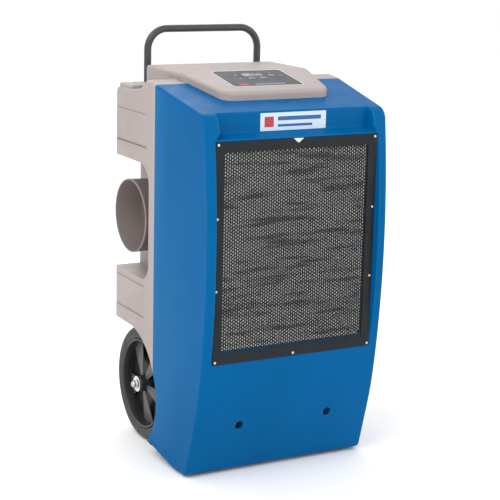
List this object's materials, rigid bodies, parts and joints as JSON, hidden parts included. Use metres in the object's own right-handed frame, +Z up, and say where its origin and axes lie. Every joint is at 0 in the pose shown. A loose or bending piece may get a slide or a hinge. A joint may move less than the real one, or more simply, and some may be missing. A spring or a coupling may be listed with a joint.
{
  "type": "portable dehumidifier",
  "caption": "Wheeled commercial dehumidifier with a blue front shell, a tan rear shell, a dark perforated intake grille, a round side air outlet and a tubular pull handle.",
  "frame": {"origin": "on the floor, under the middle of the bounding box", "axes": "+Z up, the intake grille faces -Y, the round air outlet points to -X"},
  "size_m": [0.442, 0.473, 0.905],
  "materials": {
    "black_plastic": "moulded plastic",
    "board": "circuit board",
    "brass": "machined brass",
    "button": "soft-touch key",
    "clamp": "moulded clamp",
    "coil": "finned coil",
    "compressor": "black enamel",
    "copper": "bare copper tube",
    "display": "clear display window",
    "filter": "bright mesh in a frame",
    "galvanised": "galvanised sheet",
    "grille": "dark powder coat on perforated sheet",
    "handle": "dark powder-coated tube",
    "label": "blank plate",
    "panel_grey": "satin printed overlay",
    "rim": "black moulded rim",
    "rubber": "moulded rubber",
    "screw": "bright zinc-plated screw",
    "shell_blue": "smooth moulded plastic",
    "shell_tan": "fine-textured moulded plastic",
    "tyre": "black solid tyre",
    "white_plastic": "moulded plastic",
    "zinc": "zinc-plated steel"
  },
  "bodies": {
    "chassis": {"air_filter": "filter", "arch_liner_left": "black_plastic", "arch_liner_right": "black_plastic", "axle": "zinc", "axle_cap_left": "zinc", "axle_cap_right": "zinc", "base_pan": "galvanised", "cable_gland": "black_plastic", "compressor": "compressor", "condensate_pump": "black_plastic", "condenser_coil": "coil", "control_board": "board", "control_hood": "shell_tan", "control_panel": "panel_grey", "discharge_pipe": "copper", "display_window": "display", "drain_fitting": "brass", "drip_tray": "white_plastic", "duct_collar": "shell_tan", "evaporator_coil": "coil", "fan_motor": "compressor", "fan_scroll": "black_plastic", "front_foot_left": "rubber", "front_foot_right": "rubber", "front_shell": "shell_blue", "grille_screw_bottom": "screw", "grille_screw_left_1": "screw", "grille_screw_left_2": "screw", "grille_screw_left_3": "screw", "grille_screw_left_4": "screw", "grille_screw_right_1": "screw", "grille_screw_right_2": "screw", "grille_screw_right_3": "screw", "grille_screw_right_4": "screw", "handle": "handle", "handle_clamp_lower_left": "clamp", "handle_clamp_lower_right": "clamp", "handle_clamp_upper_left": "clamp", "handle_clamp_upper_right": "clamp", "hub_washer_left": "zinc", "hub_washer_right": "zinc", "intake_grille": "grille", "label_plate": "label", "pump_reservoir": "white_plastic", "rear_shell": "shell_tan", "shell_bolt_left": "screw", "shell_bolt_right": "screw", "suction_pipe": "copper", "wheel_spacer_left": "white_plastic", "wheel_spacer_right": "white_plastic"},
    "wheel_left": {"tyre_left": "tyre", "rim_left": "rim"},
    "wheel_right": {"tyre_right": "tyre", "rim_right": "rim"},
    "fan": {"fan_impeller": "black_plastic"},
    "float": {"pump_float": "white_plastic"},
    "power_key": {"power_button": "button"},
    "lower_key": {"lower_button": "button"},
    "raise_key": {"raise_button": "button"}
  },
  "joints": [
    {"name": "wheel_left_spin", "type": "hinge", "parent": "chassis", "child": "wheel_left", "pos_m": [-0.172, 0.1095, 0.127], "axis": [1, 0, 0], "continuous": true},
    {"name": "wheel_right_spin", "type": "hinge", "parent": "chassis", "child": "wheel_right", "pos_m": [0.172, 0.1095, 0.127], "axis": [1, 0, 0], "continuous": true},
    {"name": "fan_spin", "type": "hinge", "parent": "chassis", "child": "fan", "pos_m": [0.02, 0.095, 0.485], "axis": [0, 1, 0], "continuous": true},
    {"name": "float_swing", "type": "hinge", "parent": "chassis", "child": "float", "pos_m": [0.076, -0.11, 0.0889], "axis": [0, -1, 0], "range_deg": [0, 25]},
    {"name": "power_press", "type": "slide", "parent": "chassis", "child": "power_key", "axis": [0, 0.1825, -0.9832], "range_m": [0, 0.0015], "stiffness_N_per_m": 1500},
    {"name": "lower_press", "type": "slide", "parent": "chassis", "child": "lower_key", "axis": [0, 0.1825, -0.9832], "range_m": [0, 0.0015], "stiffness_N_per_m": 1500},
    {"name": "raise_press", "type": "slide", "parent": "chassis", "child": "raise_key", "axis": [0, 0.1825, -0.9832], "range_m": [0, 0.0015], "stiffness_N_per_m": 1500}
  ]
}
